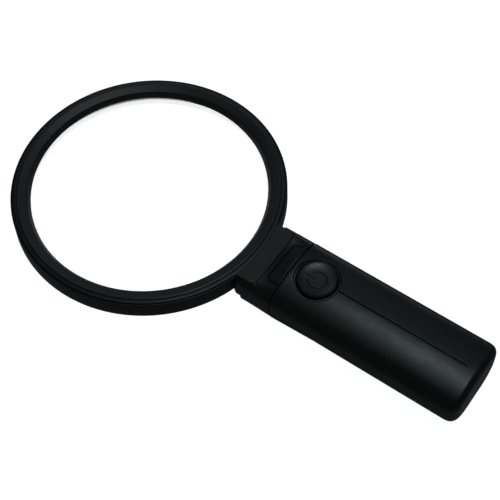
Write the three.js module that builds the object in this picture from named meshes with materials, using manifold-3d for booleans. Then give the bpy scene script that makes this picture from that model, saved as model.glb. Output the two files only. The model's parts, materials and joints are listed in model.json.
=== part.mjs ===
// Low vision hand magnifier: a round lens head that pulls off a two-cell battery handle.
// Millimetres. Design frame: lens axis at x = 0, bezel top plane at z = 0, handle along +X.
// Every mesh is moved at the end so the origin is the bottom centre of the whole object.
import * as THREE from 'three';
import { mergeVertices } from 'three/addons/utils/BufferGeometryUtils.js';
import Module from 'manifold-3d';

const wasm = await Module();
wasm.setup();

// ---------- driving dimensions ----------
const GAP = 0.3;                      // clearance between neighbouring pieces
const RING_STEPS = 72;                // facets round the lens ring

const LENS = { r: 53.2, clear: 51.2, curve: 270, top: -3.7, edge: 1.7 };
const RIM = {
  r: 58.8, lip: -0.3, seat: 58.15, top: -1.6, bottom: -8.8, pocket: 53.6, ledge: -5.7, bore: 52.6,
  flare: 54.6,
};
const BEZEL = { r: 57.9, under: -1.3, lipR: 53.3, lipBottom: -3.4, throat: 50.45, mouth: 51.55 };
const LAND = { r: [51.95, 55.5], z: [-0.35, 0.4], edge: 56.35 };   // raised band of the bezel
const PLATEAU = { x: [50, 65], half: 15, corner: 3 };

const CROWN_R = 43.2;                 // radius of the handle's top crown
const FLAT_R = 2000;                  // crown radius where the neck is all but flat
const FULL = { w: 17.4, top: 3.1, bottom: -18.25, r1: 6, r2: 9 };
const SEAM_X = 74;                    // joint between lens head and handle
const END_X = 159.6;                  // far end of the handle
const END_ROUND = { plan: 4.6, fold: 2.6, heel: 2.6 };
const CHIN = { x: [75, 95], less: 1.6 };   // lower corners are tighter near the seam
const SHELL = 2;                      // wall of the shells
const PARTING = { upper: -10.6, lower: -10.9 };
const COVER_X = 95.4;                 // front edge of the sliding battery cover

const BUTTON = { x: 85.4, r: 8.4, hole: 8.85, recess: 10, recessDepth: 0.5, rim: 3.55 };
const TAB = {
  x: [67.5, 73.7], half: 10.4, corner: 2.6, thick: 1.6, slotFloor: -4.2,
  stemX: 71.3, stemR: 1.2, lipX: [66.2, 68.5], lipZ: [-3.3, -2.4], lipHalf: 6,
};
const SPIGOT = { x: [67.4, 81.5], inset: 2.4, wall: 1.6, slotX: 74.7, slotZ: -2.6, window: -4.7 };
const SCREW = { x: [79, 91.5], y: 10.4, post: 2.4, hole: 1.25, shank: 0.95, head: 1.9 };
const CELL = { r: 7.25, y: 7.4, z: -8.6, can: 49.5, nub: 1, nubR: 2.7 };
const BAY = { front: 96, plate: 0.4, bridge: 152.9, spring: 4.8 };
const PIN = { y: 5, z: -8.2, r: 0.8, padR: 1.7 };  // head-to-handle contact pins and pads
const BOARD = { x: [76.4, 93.8], half: 7.6, top: -6.6, thick: 1.2 };
const SLOPE = { x: [54.7, 56.2], z: [RIM.bottom, FULL.bottom] };  // leaning front face of the neck
const NECK = { top: -0.3, step: [59, 59.3], w: [16.25, 17.1], r1: 3.5, r2: 7.4, socket: 57.6 };
const COLLAR = { x: 65.3, z: 0.1 };        // low edge of the collar that climbs to the seam
const GROOVE = { x: [95.8, 153.5], half: 0.4, depth: 0.6 };     // line along the crown
const GRIP = { x: 138, pitch: 2.4, width: 1, half: 6.5, depth: 0.5, count: 5 };
const COVER = { wall: 1.6, rebate: 0.85, rebateZ: -12.5, tongue: 1.15, tongueZ: -12.2 };
const LIGHT = { cut: [2, 8.4], window: [2.3, 8.1], board: [1.6, 7.8] };  // distances down the slope
const LED = { y: [-7, 0, 7], half: 1.4, along: [3.8, 6.6], depth: [-3.3, -2.3] };
const COIL = { turns: 3, thin: 0.25, thick: 0.35, sides: 5 };
const FAR = 200;                           // larger than the whole part

// ---------- colours ----------
const shade = (color, roughness, metalness = 0, extra = {}) =>
  new THREE.MeshStandardMaterial({ color, roughness, metalness, ...extra });
const BLACK = shade(0x17191a, 0.42);
const BLACK_SOFT = shade(0x1d1f20, 0.5);
const CLEAR = shade(0xeef4f6, 0.05, 0, { transparent: true, opacity: 0.25 });
const METAL = shade(0xb9bcc0, 0.3, 0.9);
const GOLD = shade(0xc9a24a, 0.3, 0.9);
const BOARD_GREEN = shade(0x1f5a36, 0.6);
const CHIP = shade(0x202225, 0.5);
const CELL_SLEEVE = shade(0x5f6a73, 0.4);
const LED_YELLOW = shade(0xe8dc7a, 0.4);
const WIRE_RED = shade(0xa3241f, 0.5);
const WIRE_BLACK = shade(0x151515, 0.5);

// ---------- solids ----------
function signedVolume(position, index) {
  const a = new THREE.Vector3();
  const b = new THREE.Vector3();
  const c = new THREE.Vector3();
  let sum = 0;
  for (let i = 0; i < index.length; i += 3) {
    a.fromBufferAttribute(position, index[i]);
    b.fromBufferAttribute(position, index[i + 1]);
    c.fromBufferAttribute(position, index[i + 2]);
    sum += a.dot(b.cross(c)) / 6;
  }
  return sum;
}

function toSolid(geometry) {
  geometry.deleteAttribute('normal');
  geometry.deleteAttribute('uv');
  const welded = mergeVertices(geometry, 1e-4);
  const index = [];
  for (let i = 0; i < welded.index.count; i += 3) {
    const [a, b, c] = [0, 1, 2].map((k) => welded.index.getX(i + k));
    if (a !== b && b !== c && a !== c) index.push(a, b, c);
  }
  if (signedVolume(welded.attributes.position, index) < 0) index.reverse();
  const mesh = new wasm.Mesh({
    numProp: 3,
    vertProperties: new Float32Array(welded.attributes.position.array),
    triVerts: new Uint32Array(index),
  });
  return new wasm.Manifold(mesh);
}

function toGeometry(solid) {
  const mesh = solid.getMesh();
  const geometry = new THREE.BufferGeometry();
  geometry.setAttribute('position', new THREE.BufferAttribute(mesh.vertProperties, 3));
  geometry.setIndex(new THREE.BufferAttribute(mesh.triVerts, 1));
  geometry.computeVertexNormals();
  return geometry;
}

const span = ([a, b]) => [b - a, (a + b) / 2];

function box(x, y, z) {
  const [[dx, cx], [dy, cy], [dz, cz]] = [x, y, z].map(span);
  return toSolid(new THREE.BoxGeometry(dx, dy, dz).translate(cx, cy, cz));
}

function rodZ(radius, z, x = 0, y = 0, segments = 24) {
  const [length, middle] = span(z);
  const rod = new THREE.CylinderGeometry(radius, radius, length, segments);
  return toSolid(rod.rotateX(Math.PI / 2).translate(x, y, middle));
}

function rodX(radius, x, y, z, segments = 24) {
  const [length, middle] = span(x);
  const rod = new THREE.CylinderGeometry(radius, radius, length, segments);
  return toSolid(rod.rotateZ(Math.PI / 2).translate(middle, y, z));
}

// profile: [radius, z] pairs spun about a vertical axis at (x, y)
function spun(profile, segments, x = 0, y = 0) {
  const points = profile.map(([r, z]) => new THREE.Vector2(r, z));
  const body = new THREE.LatheGeometry(points, segments);
  return toSolid(body.rotateX(Math.PI / 2).translate(x, y, 0));
}

// flat outline in the XY plane raised from z[0] to z[1]
function prismZ(shape, z) {
  const body = new THREE.ExtrudeGeometry(shape, { depth: z[1] - z[0], bevelEnabled: false });
  return toSolid(body.translate(0, 0, z[0]));
}

function roundedShape(x, half, corner, roundBothEnds = false) {
  const shape = new THREE.Shape();
  const c = roundBothEnds ? corner : 0;
  shape.moveTo(x[0] + c, -half);
  shape.lineTo(x[1] - corner, -half);
  shape.absarc(x[1] - corner, corner - half, corner, -Math.PI / 2, 0);
  shape.absarc(x[1] - corner, half - corner, corner, 0, Math.PI / 2);
  shape.lineTo(x[0] + c, half);
  if (roundBothEnds) {
    shape.absarc(x[0] + c, half - c, c, Math.PI / 2, Math.PI);
    shape.absarc(x[0] + c, c - half, c, Math.PI, Math.PI * 1.5);
  }
  return shape;
}

// Handle outline at one station: crown, two upper corners, two lower corners, flat bottom.
function outline({ w, top, bottom, r1, r2, crown = CROWN_R }, inset = 0) {
  const R = crown - inset;
  const [hw, zt, zb, a1, a2] = [w - inset, top - inset, bottom + inset, r1 - inset, r2 - inset];
  const drop = Math.sqrt((R - a1) ** 2 - (hw - a1) ** 2);
  const lean = Math.atan2(hw - a1, drop);
  const right = [];
  const arc = (cy, cz, r, from, to, steps, first) => {
    for (let i = first; i <= steps; i++) {
      const t = from + ((to - from) * i) / steps;
      right.push([cy + r * Math.sin(t), cz + r * Math.cos(t)]);
    }
  };
  arc(0, zt - R, R, 0, lean, 4, 0);
  arc(hw - a1, zt - R + drop, a1, lean, Math.PI / 2, 5, 1);
  arc(hw - a2, zb + a2, a2, Math.PI / 2, Math.PI, 6, 0);
  const left = right.slice(1).map(([y, z]) => [-y, z]);
  return right.concat(left.reverse());
}

// skin a row of outlines {x, ring} along X and close both ends
function loft(stations) {
  const n = stations[0].ring.length;
  const position = stations.flatMap(({ x, ring }) => ring.flatMap(([y, z]) => [x, y, z]));
  const index = [];
  for (let s = 0; s + 1 < stations.length; s++) {
    for (let i = 0; i < n; i++) {
      const a = s * n + i;
      const b = s * n + ((i + 1) % n);
      index.push(a, b + n, b, a, a + n, b + n);
    }
  }
  const last = (stations.length - 1) * n;
  for (let i = 1; i + 1 < n; i++) {
    index.push(0, i, i + 1, last, last + i + 1, last + i);
  }
  const geometry = new THREE.BufferGeometry();
  geometry.setAttribute('position', new THREE.Float32BufferAttribute(position, 3));
  geometry.setIndex(index);
  return toSolid(geometry);
}

// ---------- shared forms ----------
const rise = (r, over) => (over > 0 ? r - Math.sqrt(Math.max(0, r * r - over * over)) : 0);

function handleStation(x) {
  const [side, fold, heel] = ['plan', 'fold', 'heel'].map((key) =>
    rise(END_ROUND[key], x - (END_X - END_ROUND[key])));
  const chin = THREE.MathUtils.clamp((CHIN.x[1] - x) / (CHIN.x[1] - CHIN.x[0]), 0, 1);
  return {
    w: FULL.w - side,
    top: FULL.top - fold,
    bottom: FULL.bottom + heel,
    r1: FULL.r1 - 0.35 * side,
    r2: FULL.r2 - CHIN.less * chin - 0.35 * side,
  };
}

// whole handle volume, shrunk by inset on every side but left open past the seam when asked
function handleVolume(inset, from = SEAM_X) {
  const rounds = [4.6, 3.6, 2.6, 1.7, 1, 0.45, 0.1, 0].map((d) => END_X - d);
  const stations = [from, ...CHIN.x, ...rounds].map((x) => ({
    x: x >= END_X ? END_X - inset : x - inset * ((x - SEAM_X) / (END_X - SEAM_X)),
    ring: outline(handleStation(x), inset),
  }));
  return loft(stations);
}

// constant handle section between two stations
function section(x, inset, top = [FULL.top, FULL.top]) {
  return loft(x.map((at, i) => ({ x: at, ring: outline({ ...FULL, top: top[i] }, inset) })));
}

const climb = (x) => (x - COLLAR.x) / (SEAM_X - COLLAR.x);
const collarTop = (x) => COLLAR.z + climb(x) * (FULL.top - COLLAR.z - 0.05);
const collarCrown = (x) => 1 / (climb(x) / CROWN_R + (1 - climb(x)) / FLAT_R);
const collarStation = (x) => ({ ...FULL, top: collarTop(x), crown: collarCrown(x) });
const below = (z) => box([-FAR, FAR], [-FAR, FAR], [-FAR, z]);
const above = (z) => box([-FAR, FAR], [-FAR, FAR], [z, FAR]);

// lens head between the ring and the seam; flatTop is its height left of the collar
function neckVolume(inset, x, flatTop = NECK.top) {
  const [narrow, wide] = NECK.w;
  const flat = (at, w, bottom, r2) => ({
    x: at, ring: outline({ w, top: flatTop, bottom, r1: NECK.r1, r2, crown: FLAT_R }, inset),
  });
  const collar = (at, w, r1) => ({
    x: at, ring: outline({ ...collarStation(at), w, r1, r2: NECK.r2 }, inset),
  });
  const rows = [
    flat(SLOPE.x[0], narrow, SLOPE.z[0], 2.6),
    flat(SLOPE.x[1], narrow, SLOPE.z[1], NECK.r2),
    flat(NECK.step[0], narrow, SLOPE.z[1], NECK.r2),
    flat(NECK.step[1], wide, SLOPE.z[1], NECK.r2),
    flat(COLLAR.x - 0.1, wide, SLOPE.z[1], NECK.r2),
    collar(COLLAR.x, wide, NECK.r1 + 0.3),
    collar(SEAM_X - GAP, 17.3, FULL.r1),
  ];
  return loft(rows).intersect(box(x, [-30, 30], [-30, 10]));
}

// ---------- lens head ----------
function lensBody() {
  const { r, clear, curve, top, edge } = LENS;
  const sag = (at) => curve - Math.sqrt(curve * curve - at * at);
  const rings = [0, 0.25, 0.5, 0.75, 1].map((f) => f * clear);
  const front = rings.map((at) => [at, top + sag(clear) - sag(at)]);
  const back = rings.map((at) => [at, top - edge - sag(clear) + sag(at)]).reverse();
  return spun([...front, [r, top], [r, top - edge], ...back], RING_STEPS);
}

function bezelBody() {
  const { r, under, lipR, lipBottom, throat, mouth } = BEZEL;
  const ring = spun([
    [throat + 0.9, lipBottom], [lipR, lipBottom], [lipR, under], [r - 0.4, under], [r, under + 0.3],
    [r, -0.3], [r - 0.3, 0], [LAND.edge, 0], [LAND.edge - 0.25, 0.28], [LAND.r[1], LAND.z[1]],
    [LAND.r[0], LAND.z[0]], [mouth, -0.85], [throat + 0.1, -2.4], [throat, -2.9],
    [throat + 0.9, lipBottom],
  ], RING_STEPS);
  const plate = prismZ(roundedShape(PLATEAU.x, PLATEAU.half, PLATEAU.corner), [under, 0]);
  return ring.add(plate.subtract(rodZ(r - 1.2, [-10, 10], 0, 0, RING_STEPS)));
}

function headFrameBody() {
  const { r, lip, seat, top, bottom, pocket, ledge, bore, flare } = RIM;
  const ring = spun([
    [bore, ledge], [pocket, ledge], [pocket, top], [seat, top], [seat, lip], [r - 0.3, lip],
    [r - 0.1, lip - 0.3], [r, bottom + 1], [r - 0.15, bottom + 0.3], [r - 0.5, bottom], [flare, bottom], [bore, ledge],
  ], RING_STEPS);
  const neck = neckVolume(0, [SLOPE.x[0], SEAM_X - GAP]);
  const socket = neckVolume(SHELL, [NECK.socket, 80], top);
  const hatch = prismZ(roundedShape([59.4, 63.9], 12, 1, true), [-6, 0]);
  const window = slopeBox(...LIGHT.cut, 11.3, -4.4, 1);
  const tabSlot = prismZ(tabShape(GAP), [TAB.slotFloor, FAR]);
  // flush pocket that the bezel's plateau lies in
  const { x: [px0, px1], half, corner } = PLATEAU;
  const pocketCut = prismZ(roundedShape([px0, px1 + 0.2], half + 0.2, corner + 0.2), [top, FAR]);
  const bezelSeat = rodZ(seat, [top, FAR], 0, 0, RING_STEPS);
  const lensBore = rodZ(pocket, [ledge, FAR], 0, 0, RING_STEPS);
  return [socket, hatch, window, tabSlot, pocketCut, bezelSeat, lensBore]
    .reduce((body, cut) => body.subtract(cut), ring.add(neck));
}

// box set in the neck's leaning front face: distances down it, half width, depths
function slopeBox(from, to, half, inner, outer) {
  const dx = SLOPE.x[1] - SLOPE.x[0];
  const dz = SLOPE.z[1] - SLOPE.z[0];
  const angle = Math.atan2(-dz, dx);
  const [length, middle] = span([from, to]);
  const [depth, level] = span([-outer, -inner]);
  const body = new THREE.BoxGeometry(length, half * 2, depth).translate(middle, 0, level);
  return toSolid(body.rotateY(angle).translate(SLOPE.x[0], 0, SLOPE.z[0]));
}

// U-shaped outline of the release tab, widened for its slot in the collar
function tabShape(clearance) {
  const { x: [x0, x1], half, corner } = TAB;
  const [left, h, c] = [x0 - clearance, half + clearance, corner + clearance];
  const right = x1 + (clearance > 0 ? 5 : 0);
  const shape = new THREE.Shape();
  shape.moveTo(right, h);
  shape.lineTo(left + c, h);
  shape.absarc(left + c, h - c, c, Math.PI / 2, Math.PI);
  shape.absarc(left + c, c - h, c, Math.PI, Math.PI * 1.5);
  shape.lineTo(right, -h);
  return shape;
}

// ---------- handle ----------
const pinHoles = (r, x) => [-1, 1].map((s) => rodX(r, x, s * PIN.y, PIN.z, 12));
const posts = (r, z) => SCREW.x.flatMap((x) => [-1, 1].map((s) => rodZ(r, z, x, s * SCREW.y, 16)));

function upperShellBody() {
  const cavity = handleVolume(SHELL, SEAM_X - 4);
  let shell = handleVolume(0).subtract(cavity).subtract(below(PARTING.upper));
  // tongue that runs inside the rebate of the battery cover
  const tongue = section([COVER_X + 0.9, 150], COVER.tongue)
    .subtract(section([COVER_X, 151], SHELL))
    .intersect(box([90, 151], [-20, 20], [COVER.tongueZ, PARTING.upper + 0.1]));
  const bulkhead = section([BAY.front - 1.6, BAY.front], 1).subtract(above(-2.8))
    .subtract(below(PARTING.upper));
  const rest = section([BAY.bridge + 0.7, END_X - 2.6], 1.5).subtract(above(-5))
    .subtract(below(PARTING.upper));
  shell = shell.add(tongue).add(bulkhead).add(rest);
  for (const post of posts(SCREW.post, [PARTING.upper, 0.6])) shell = shell.add(post);
  for (const hole of posts(SCREW.hole, [-12, -4.2])) shell = shell.subtract(hole);
  const skin = handleVolume(-GAP).subtract(handleVolume(BUTTON.recessDepth));
  const recess = rodZ(BUTTON.recess, [0, 6], BUTTON.x, 0, 36).intersect(skin);
  const groove = box(GROOVE.x, [-GROOVE.half, GROOVE.half], [FULL.top - GROOVE.depth, 6]);
  return shell.subtract(recess).subtract(groove)
    .subtract(rodZ(BUTTON.hole, [-2, 6], BUTTON.x, 0, 36));
}

function lowerShellBody() {
  let shell = handleVolume(0).subtract(handleVolume(SHELL, SEAM_X - 4))
    .subtract(above(PARTING.lower)).intersect(box([70, COVER_X - GAP], [-30, 30], [-30, 0]));
  for (const post of posts(SCREW.post, [-16.6, PARTING.lower])) shell = shell.add(post);
  for (const hole of posts(SCREW.hole, [-17.6, -8])) shell = shell.subtract(hole);
  for (const well of posts(SCREW.head + GAP, [-20, -15.6])) shell = shell.subtract(well);
  return shell;
}

function batteryCoverBody() {
  const thin = handleVolume(COVER.rebate, SEAM_X - 4).subtract(below(COVER.rebateZ))
    .intersect(box([COVER_X - 1, 150.3], [-30, 30], [-30, 0]));
  const lip = box([91.6, 97], [-3.2, 3.2], [-15.95, -14.9])
    .add(box([COVER_X, 97], [-3.2, 3.2], [-17.5, -14.95]));
  let cover = handleVolume(0).subtract(handleVolume(COVER.wall, SEAM_X - 4)).subtract(thin)
    .subtract(above(PARTING.lower)).intersect(box([COVER_X, 200], [-30, 30], [-30, 0])).add(lip);
  for (let i = 0; i < GRIP.count; i++) {
    const x = GRIP.x + GRIP.pitch * i;
    const rib = box([x, x + GRIP.width], [-GRIP.half, GRIP.half], [-FAR, FULL.bottom + GRIP.depth]);
    cover = cover.subtract(rib);
  }
  return cover;
}

function spigotBody() {
  const { x: [x0, x1], inset, wall, slotX, slotZ, window } = SPIGOT;
  const rows = [x0, SEAM_X, x1];
  const tops = rows.map((x) => Math.min(collarTop(x), FULL.top - 0.05));
  const skin = (extra, ends) => loft(ends.map((x, i) => ({
    x, ring: outline({ ...FULL, w: 17.2, top: tops[i] }, inset + extra),
  })));
  const tube = skin(0, rows)
    .subtract(skin(wall, [x0 + 1.5, SEAM_X, x1 + 5]))
    .add(box([x0 + 1, SEAM_X - 0.6], [-13.5, 13.5], [window - 1.2, window - 0.2]));
  const cuts = [
    box([slotX, 90], [-30, 30], [slotZ, 10]),
    prismZ(tabShape(0.4), [window, 6]),
    ...pinHoles(2, [60, 69.2]),
    ...posts(SCREW.post + GAP, [-20, 5]),
  ];
  return cuts.reduce((body, cut) => body.subtract(cut), tube);
}

function tabBody() {
  const cover = (inset, ends) =>
    loft(ends.map((x) => ({ x, ring: outline(collarStation(x), inset) })));
  const lid = cover(0, [COLLAR.x + 1, SEAM_X]);
  const hollow = cover(TAB.thick, [COLLAR.x, SEAM_X + 1]);
  const plate = prismZ(tabShape(0), [-6, 6]).intersect(lid.subtract(hollow));
  const across = [-TAB.lipHalf, TAB.lipHalf];
  const lip = box(TAB.lipX, across, TAB.lipZ);
  const stem = rodZ(TAB.stemR, [TAB.lipZ[0], 1], TAB.stemX, 0, 16);
  const web = box([TAB.lipX[1] - 0.9, TAB.lipX[1]], across, [TAB.lipZ[0], -0.3]);
  return plate.add(lip).add(web).add(stem);
}

// ---------- button ----------
function buttonCapBody() {
  const { x, r, rim } = BUTTON;
  const cap = spun([
    [0, rim - 0.45], [4, rim - 0.4], [7, rim - 0.15], [r - 0.7, rim], [r - 0.25, rim - 0.15],
    [r, rim - 0.6], [r, -1.2], [r - 1.2, -1.2], [r - 1.2, 1.9], [2, 1.9], [2, -1], [0, -1],
  ], 36, x, 0);
  const mark = spun([[2.9, 2.9], [3.5, 2.9], [3.5, 3.35], [2.9, 3.35], [2.9, 2.9]], 24, x, 0)
    .subtract(box([x - 5, x - 1.6], [-1.1, 1.1], [2, 6]));
  const bar = box([x - 4.4, x - 1.4], [-0.3, 0.3], [2.9, 3.35]);
  let body = cap.add(mark).add(bar);
  for (const s of [-1, 1]) {
    const lug = box([x - 2.2, x + 2.2], [8, 9.7].map((y) => s * y).sort((a, b) => a - b),
      [-1.2, -0.4]);
    body = body.add(lug);
  }
  return body;
}

// helix whose axis direction is set by the place function
class Helix extends THREE.Curve {
  constructor(radius, from, to, turns, place) {
    super();
    Object.assign(this, { radius, from, to, turns, place });
  }

  getPoint(t, target = new THREE.Vector3()) {
    const angle = t * this.turns * Math.PI * 2;
    const along = this.from + (this.to - this.from) * t;
    const [u, v] = [this.radius * Math.cos(angle), this.radius * Math.sin(angle)];
    return target.set(...this.place(u, v, along));
  }
}

function wire(curve, radius, steps) {
  const shape = new THREE.Shape();
  shape.absarc(0, 0, radius, 0, Math.PI * 2);
  const options = { steps, curveSegments: COIL.sides, bevelEnabled: false, extrudePath: curve };
  return toSolid(new THREE.ExtrudeGeometry(shape, options));
}

const coil = (r, [from, to], gauge, at) =>
  wire(new Helix(r, from, to, COIL.turns, at), gauge, COIL.turns * 12);
const coilZ = (r, z, x) => coil(r, z, COIL.thin, (u, v, w) => [x + u, v, w]);
const coilX = (r, x, y, z) => coil(r, x, COIL.thick, (u, v, w) => [w, y + u, z + v]);
const lead = (points) =>
  wire(new THREE.CatmullRomCurve3(points.map((p) => new THREE.Vector3(...p))), COIL.thick, 14);

// ---------- cells and contacts ----------
function cellBody(side) {
  const y = side * CELL.y;
  if (side > 0) {
    const start = BAY.front + 1;
    return rodX(CELL.r, [start + CELL.nub, start + CELL.nub + CELL.can], y, CELL.z, 28)
      .add(rodX(CELL.nubR, [start, start + CELL.nub + 0.5], y, CELL.z, 16));
  }
  const tip = BAY.bridge - GAP;
  return rodX(CELL.r, [tip - CELL.nub - CELL.can, tip - CELL.nub], y, CELL.z, 28)
    .add(rodX(CELL.nubR, [tip - CELL.nub - 0.5, tip], y, CELL.z, 16));
}

const frontPlate = (side) => {
  const y = [side * 1.4, side * 13].sort((a, b) => a - b);
  return box([BAY.front + GAP, BAY.front + GAP + BAY.plate], y, [-13.4, -3.6]);
};

const frontSpring = () => coilX(4, [BAY.front + 1.35, BAY.front + 5.45], -CELL.y, CELL.z);
const bridgeSpring = () => coilX(4, [BAY.bridge - 5, BAY.bridge - 0.7], CELL.y, CELL.z);

function screwBody(x, y) {
  return rodZ(SCREW.shank, [-16.2, -4.8], x, y, 12).add(rodZ(SCREW.head, [-17.4, -16], x, y, 16))
    .subtract(box([x - 1.3, x + 1.3], [y - 0.25, y + 0.25], [-18, -16.9]));
}

function switchBody() {
  const x = BUTTON.x;
  const top = BOARD.top + GAP;
  return box([x - 4, x + 4], [-4, 4], [top, top + 3.2]).subtract(rodZ(1.9, [-5.6, 0], x, 0, 16));
}

// ---------- assembly ----------
const group = new THREE.Group();
group.name = 'low_vision_magnifier';
const CENTRE_X = (END_X - RIM.r) / 2;

function place(name, solid, material) {
  const geometry = toGeometry(solid);
  geometry.translate(-CENTRE_X, 0, -FULL.bottom);
  const mesh = new THREE.Mesh(geometry, material);
  mesh.name = name;
  group.add(mesh);
}

// lens head
place('lens', lensBody(), CLEAR);
place('bezel', bezelBody(), BLACK);
place('head_frame', headFrameBody(), BLACK);
place('led_window', slopeBox(...LIGHT.window, 11, -1.3, -0.1), CLEAR);
place('led_board', slopeBox(...LIGHT.board, 10.6, -5.8, -4.8), BOARD_GREEN);
for (const [i, y] of LED.y.entries()) {
  const led = slopeBox(...LED.along, LED.half, ...LED.depth);
  place(`led_${i + 1}`, led.translate([0, y, 0]), LED_YELLOW);
}
const pinCarrier = box([65.2, 66.6], [-13.4, 13.4], [PIN.z - 1.8, PIN.z + 1.8]);
place('contact_block', pinHoles(PIN.r + GAP, [60, 70])
  .reduce((body, hole) => body.subtract(hole), pinCarrier), BLACK_SOFT);
for (const [side, name] of [[-1, 'left'], [1, 'right']]) {
  place(`head_pin_${name}`, rodX(PIN.r, [64, 67.6], side * PIN.y, PIN.z, 12), GOLD);
  place(`handle_pad_${name}`, rodX(PIN.padR, [67.9, 69.6], side * PIN.y, PIN.z, 16), GOLD);
}

// handle
place('upper_shell', upperShellBody(), BLACK);
place('lower_shell', lowerShellBody(), BLACK);
place('battery_cover', batteryCoverBody(), BLACK);
place('spigot', spigotBody(), BLACK_SOFT);
place('release_tab', tabBody(), BLACK);
place('release_spring', coilZ(1.75, [-4.35, 0], TAB.stemX), METAL);
place('control_board', box(BOARD.x, [-BOARD.half, BOARD.half],
  [BOARD.top - BOARD.thick, BOARD.top]), BOARD_GREEN);
place('push_switch', switchBody(), CHIP);
place('driver_chip', box([78, 80.2], [-2.6, 1.4], [BOARD.top + GAP, BOARD.top + 1.3]), CHIP);
place('driver_coil', rodZ(2.1, [BOARD.top + GAP, BOARD.top + 2.8], 91.5, 3.5, 20), CHIP);
SCREW.x.forEach((x, i) => [-1, 1].forEach((s, k) => {
  place(`shell_screw_${2 * i + k + 1}`, screwBody(x, s * SCREW.y), METAL);
}));
place('button_cap', buttonCapBody(), BLACK);
place('switch_plunger', rodZ(1.5, [-4, -1.3], BUTTON.x, 0, 16), BLACK_SOFT);
place('button_spring', coilZ(3.1, [-2.5, 1.3], BUTTON.x), METAL);

// cells and contacts
place('battery_1', cellBody(1), CELL_SLEEVE);
place('battery_2', cellBody(-1), CELL_SLEEVE);
place('contact_plate_pos', frontPlate(1), METAL);
place('contact_plate_neg', frontPlate(-1), METAL);
place('bridge_plate', box([BAY.bridge, BAY.bridge + BAY.plate], [-12.6, 12.6], [-13, -4]), METAL);
place('cell_spring_front', frontSpring(), METAL);
place('cell_spring_rear', bridgeSpring(), METAL);

// leads
for (const [s, name, material] of [[1, 'red', WIRE_RED], [-1, 'black', WIRE_BLACK]]) {
  const y = s * PIN.y;
  place(`head_lead_${name}`, lead([[69.95, y, PIN.z], [72, y, -8.9], [74.4, y, -8.4],
    [76.05, y, -7.2]]), material);
  place(`cell_lead_${name}`, lead([[92.6, s * 6, -6.1], [93.3, s * 6, -3.4], [95, s * 6, -1.9],
    [96.5, s * 6, -2.9]]), material);
}

export default group;
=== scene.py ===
"""Low vision hand magnifier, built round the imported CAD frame."""
import json
import math

import bmesh
import bpy
from mathutils import Matrix, Vector
from mathutils.geometry import delaunay_2d_cdt


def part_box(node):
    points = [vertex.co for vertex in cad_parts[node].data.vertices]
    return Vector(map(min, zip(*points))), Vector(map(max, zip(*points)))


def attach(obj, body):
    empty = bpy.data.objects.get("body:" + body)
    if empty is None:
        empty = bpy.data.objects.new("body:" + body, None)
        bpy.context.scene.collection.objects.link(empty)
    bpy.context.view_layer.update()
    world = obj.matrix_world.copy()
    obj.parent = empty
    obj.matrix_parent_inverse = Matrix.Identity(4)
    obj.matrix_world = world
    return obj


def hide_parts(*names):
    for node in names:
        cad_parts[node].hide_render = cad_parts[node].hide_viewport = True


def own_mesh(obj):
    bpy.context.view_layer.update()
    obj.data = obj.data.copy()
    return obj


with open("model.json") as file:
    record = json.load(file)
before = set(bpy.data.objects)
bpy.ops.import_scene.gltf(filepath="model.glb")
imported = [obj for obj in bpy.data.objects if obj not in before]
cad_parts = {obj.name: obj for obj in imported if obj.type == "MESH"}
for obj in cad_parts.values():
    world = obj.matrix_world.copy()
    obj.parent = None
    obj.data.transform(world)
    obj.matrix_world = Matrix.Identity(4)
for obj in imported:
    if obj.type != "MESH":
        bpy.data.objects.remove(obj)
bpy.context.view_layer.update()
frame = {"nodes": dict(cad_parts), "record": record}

# ---------------------------------------------------------------- driving dimensions
# Millimetres, in the design frame: lens axis at x = 0, outer flat of the bezel at z = 0, handle along +X.
MM = 0.001
LAND_R, LAND_Z, LAND_EDGE = (51.95, 55.5), (-0.35, 0.4), 56.35      # raised band of the bezel
LENS_LOW, LENS_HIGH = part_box("lens")
ORIGIN = Vector(((LENS_LOW[0] + LENS_HIGH[0]) / 2, 0.0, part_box("bezel")[1][2] - LAND_Z[1] * MM))

# lens ring
RIM_R, RIM_TOP, RIM_BOTTOM = 58.8, -0.3, -8.8
SEAT_R, SEAT_Z = 58.15, -1.6
LENS_BORE, LENS_SHELF = 53.6, -5.7
BEZEL_R, BEZEL_UNDER, BEZEL_LIP = 57.9, -1.3, (53.3, -3.4)

# handle
CROWN_R, FLAT_R = 43.2, 2000.0
WIDTH, TOP, BOTTOM, UPPER_R, LOWER_R = 17.4, 3.1, -18.25, 6.0, 9.0
NECK_END, SEAM, COVER_START, END = 73.7, 74.0, 95.4, 159.6
PLAN_R, FOLD_R, HEEL_R, CORNER_LESS = 4.6, 2.6, 2.6, 0.35
CHIN_X, CHIN_LESS = (75.0, 95.0), 1.6
UPPER_PART, LOWER_PART = -10.6, -10.9
WALL = 2.0
SKIN_DEPTH, INSIDE_DEPTH = 0.8, 0.65     # where a fine skin ends and where the CAD inside takes over
EDGE = 0.35                      # rolled edge round each moulding
ROW_STEP = 1.5                   # spacing of the sections along the handle
BUTTON_X, BUTTON_HOLE, RECESS_R, RECESS_WALL, RECESS_DEPTH = 85.4, 8.85, 9.9, 0.5, 0.5
GROOVE_X, GROOVE_HALF, GROOVE_WALL, GROOVE_DEPTH = (95.2, 153.2), 0.58, 0.24, 0.62
SCREW_X, SCREW_Y, SCREW_WELL, WELL_FLOOR = (79.0, 91.5), 10.4, 2.2, -15.65
RIBS = [138.0 + 2.4 * i for i in range(5)]
RIB_HALF, RIB_WIDE, RIB_DEEP = 6.5, 1.0, 0.5
SPRING_WIRE, SPRING_TURNS = 0.25, 4

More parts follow.
